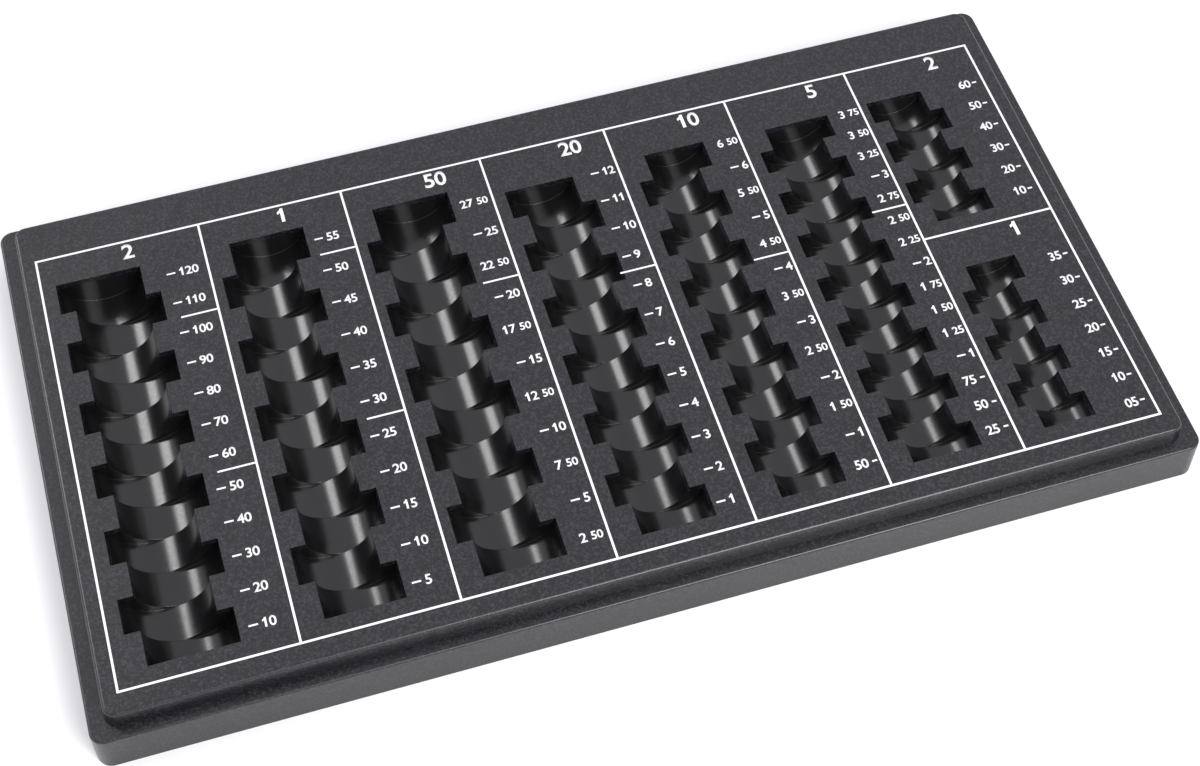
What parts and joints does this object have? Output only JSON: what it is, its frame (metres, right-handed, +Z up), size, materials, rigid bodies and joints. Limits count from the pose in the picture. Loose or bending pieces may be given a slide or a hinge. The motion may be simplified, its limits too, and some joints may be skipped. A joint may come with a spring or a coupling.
{
  "type": "coin counting tray",
  "caption": "Flat counter tray that sorts and counts coins by hand in zigzag rows of half-round beds, on a raised plate with a skirt.",
  "frame": {"origin": "centre of the tray's outline on the plane of its foot, which is the counter it stands on", "axes": "+X along the tray from the large coins' end to the small coins' end, +Y from the clerk's side to the rear, +Z up through the printed face"},
  "size_m": [0.3316, 0.1836, 0.02],
  "materials": {
    "body_plastic": "black, finely textured",
    "bed_plastic": "black, smooth satin",
    "print_ink": "white printed ink"
  },
  "bodies": {
    "root": {"outer_rim": "body_plastic", "face_plate": "body_plastic", "channel_two_euro": "bed_plastic", "channel_one_euro": "bed_plastic", "channel_fifty_cent": "bed_plastic", "channel_twenty_cent": "bed_plastic", "channel_ten_cent": "bed_plastic", "channel_five_cent": "bed_plastic", "channel_two_cent": "bed_plastic", "channel_one_cent": "bed_plastic"}
  },
  "joints": []
}
